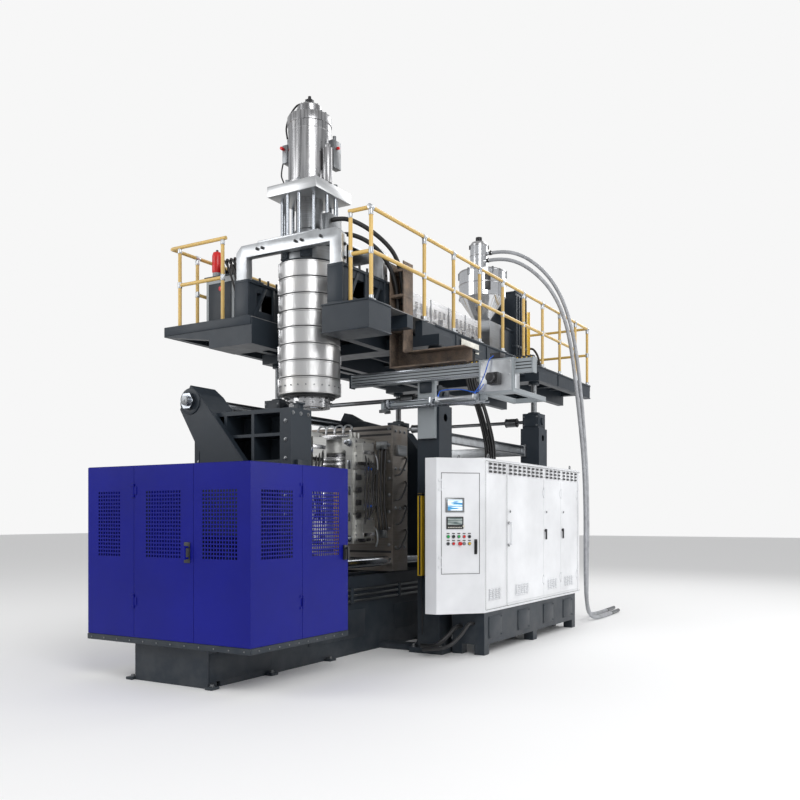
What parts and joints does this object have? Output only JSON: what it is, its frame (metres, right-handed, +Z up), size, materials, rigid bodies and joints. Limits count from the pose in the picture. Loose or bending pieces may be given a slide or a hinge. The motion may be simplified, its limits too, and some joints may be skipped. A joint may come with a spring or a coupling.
{
  "type": "blow moulding machine",
  "caption": "Accumulator-head extrusion blow moulding machine: travelling clamp with drum mould, lifting extruder platform, guard, take-out and control cabinet.",
  "frame": {"origin": "on the floor straight below the axis of the accumulator head, on the underside of the clamp bed", "axes": "+Z up, +Y from the head along the extruder to its motor, +X towards the electrical cabinet"},
  "size_m": [4.188, 8.636, 6.13],
  "materials": {
    "guard_blue": "semi-gloss enamel",
    "dark_paint": "semi-gloss enamel",
    "light_paint": "semi-gloss enamel",
    "cabinet_white": "fine texture powder coat",
    "machined_plate": "ground",
    "mould_metal": "machined",
    "bright_bar": "hard chrome",
    "steel": "turned",
    "stainless": "polished",
    "band_steel": "rolled sheet",
    "tray_steel": "weathered",
    "deck_steel": "chequer plate",
    "safety_yellow": "gloss enamel",
    "rail_paint": "gloss enamel",
    "black_plastic": "moulded",
    "black_rubber": "hose cover",
    "grey_hose": "ribbed hose",
    "green_plastic": "moulded",
    "red_plastic": "moulded"
  },
  "bodies": {
    "frame": {"clamp_base": "light_paint", "columns": "dark_paint", "jack_gearboxes": "dark_paint", "cross_shafts": "steel", "light_curtains": "safety_yellow", "guard_frame": "dark_paint", "guard_panels": "guard_blue", "cabinet_shell": "cabinet_white", "hydraulic_tank": "dark_paint", "takeout_beam": "light_paint", "suction_lances": "steel", "loader_hose_1": "grey_hose", "loader_hose_2": "grey_hose", "cable_bundle": "black_rubber"},
    "front_carriage": {"front_platen": "dark_paint", "tie_bar_arm": "dark_paint", "tie_bars": "bright_bar", "rear_yoke": "dark_paint", "clamp_cylinder": "dark_paint", "mould_front": "mould_metal"},
    "rear_carriage": {"rear_platen": "machined_plate", "clamp_rod": "bright_bar", "mould_rear": "mould_metal"},
    "blow_pin": {"blow_pin": "bright_bar"},
    "guard_front_door": {"guard_front_door": "guard_blue"},
    "guard_side_door": {"guard_side_door": "guard_blue"},
    "cabinet_door_1": {"cabinet_door_1": "cabinet_white"},
    "cabinet_door_2": {"cabinet_door_2": "cabinet_white"},
    "cabinet_door_3": {"cabinet_door_3": "cabinet_white"},
    "cabinet_latch_2": {"cabinet_latch_2": "black_plastic"},
    "cabinet_latch_3": {"cabinet_latch_3": "black_plastic"},
    "control_door": {"control_door": "cabinet_white", "panel_instruments": "black_plastic"},
    "start_button": {"start_button": "green_plastic"},
    "stop_button": {"stop_button": "black_plastic"},
    "emergency_stop": {"emergency_stop": "red_plastic"},
    "platform": {"platform_frame": "dark_paint", "platform_deck": "deck_steel", "head_supports": "cabinet_white", "head_body": "steel", "heater_bands": "band_steel", "die_ring": "steel", "ram_cylinder": "stainless", "extruder_barrel": "steel", "barrel_cover": "stainless", "drive_gearbox": "dark_paint", "belt_guard": "safety_yellow", "drive_motor": "dark_paint", "feed_hopper": "stainless", "vacuum_loader": "stainless", "railings": "rail_paint", "walkway_units": "light_paint", "cable_tray": "tray_steel", "jack_screws": "steel", "head_hose_upper": "black_rubber", "head_hose_lower": "black_rubber"},
    "die_mandrel": {"die_mandrel": "bright_bar"},
    "ram_rod": {"ram_rod": "bright_bar"},
    "extruder_screw": {"extruder_screw": "steel"},
    "takeout_carriage": {"takeout_carriage": "light_paint"}
  },
  "joints": [
    {"name": "front_clamp_slide", "type": "slide", "parent": "frame", "child": "front_carriage", "axis": [0, 1, 0], "range_m": [0, 0.279]},
    {"name": "rear_clamp_slide", "type": "slide", "parent": "frame", "child": "rear_carriage", "axis": [0, 1, 0], "range_m": [-0.279, 0]},
    {"name": "blow_pin_slide", "type": "slide", "parent": "frame", "child": "blow_pin", "axis": [0, 0, 1], "range_m": [0, 0.25]},
    {"name": "guard_front_door_hinge", "type": "hinge", "parent": "frame", "child": "guard_front_door", "pos_m": [-0.344, -2.187, 1], "axis": [0, 0, -1], "range_deg": [0, 100]},
    {"name": "guard_side_door_hinge", "type": "hinge", "parent": "frame", "child": "guard_side_door", "pos_m": [1.032, -1.477, 1], "axis": [0, 0, -1], "range_deg": [0, 100]},
    {"name": "cabinet_door_1_hinge", "type": "hinge", "parent": "frame", "child": "cabinet_door_1", "pos_m": [1.763, 2.4755, 1.2], "axis": [0, 0, 1], "range_deg": [0, 105]},
    {"name": "cabinet_door_2_hinge", "type": "hinge", "parent": "frame", "child": "cabinet_door_2", "pos_m": [1.763, 3.0755, 1.2], "axis": [0, 0, 1], "range_deg": [0, 105]},
    {"name": "cabinet_latch_2_turn", "type": "hinge", "parent": "cabinet_door_2", "child": "cabinet_latch_2", "pos_m": [1.756, 2.525, 1.33], "axis": [1, 0, 0], "range_deg": [0, 90]},
    {"name": "cabinet_door_3_hinge", "type": "hinge", "parent": "frame", "child": "cabinet_door_3", "pos_m": [1.763, 3.6955, 1.2], "axis": [0, 0, 1], "range_deg": [0, 105]},
    {"name": "cabinet_latch_3_turn", "type": "hinge", "parent": "cabinet_door_3", "child": "cabinet_latch_3", "pos_m": [1.756, 3.125, 1.33], "axis": [1, 0, 0], "range_deg": [0, 90]},
    {"name": "control_door_hinge", "type": "hinge", "parent": "frame", "child": "control_door", "pos_m": [1.43081, 0.40749, 1.4], "axis": [0, 0, -1], "range_deg": [0, 100]},
    {"name": "start_button_press", "type": "slide", "parent": "control_door", "child": "start_button", "axis": [-0.729, 0.6846, 0], "range_m": [0, 0.005], "stiffness_N_per_m": 800},
    {"name": "stop_button_press", "type": "slide", "parent": "control_door", "child": "stop_button", "axis": [-0.729, 0.6846, 0], "range_m": [0, 0.005], "stiffness_N_per_m": 800},
    {"name": "emergency_stop_press", "type": "slide", "parent": "control_door", "child": "emergency_stop", "axis": [-0.729, 0.6846, 0], "range_m": [0, 0.005], "stiffness_N_per_m": 800},
    {"name": "platform_lift", "type": "slide", "parent": "frame", "child": "platform", "axis": [0, 0, 1], "range_m": [0, 0.25], "deforming": ["loader_hose_1", "loader_hose_2", "cable_bundle"]},
    {"name": "die_mandrel_slide", "type": "slide", "parent": "platform", "child": "die_mandrel", "axis": [0, 0, 1], "range_m": [0, 0.015]},
    {"name": "ram_slide", "type": "slide", "parent": "platform", "child": "ram_rod", "axis": [0, 0, 1], "range_m": [0, 0.35]},
    {"name": "extruder_screw_spin", "type": "hinge", "parent": "platform", "child": "extruder_screw", "pos_m": [0, 2.5, 4.19], "axis": [0, 1, 0], "continuous": true},
    {"name": "takeout_slide", "type": "slide", "parent": "frame", "child": "takeout_carriage", "axis": [1, 0, 0], "range_m": [-0.5, 0]}
  ],
  "couplings": [
    {"joint": "rear_clamp_slide", "follows": "front_clamp_slide", "ratio": -1}
  ]
}
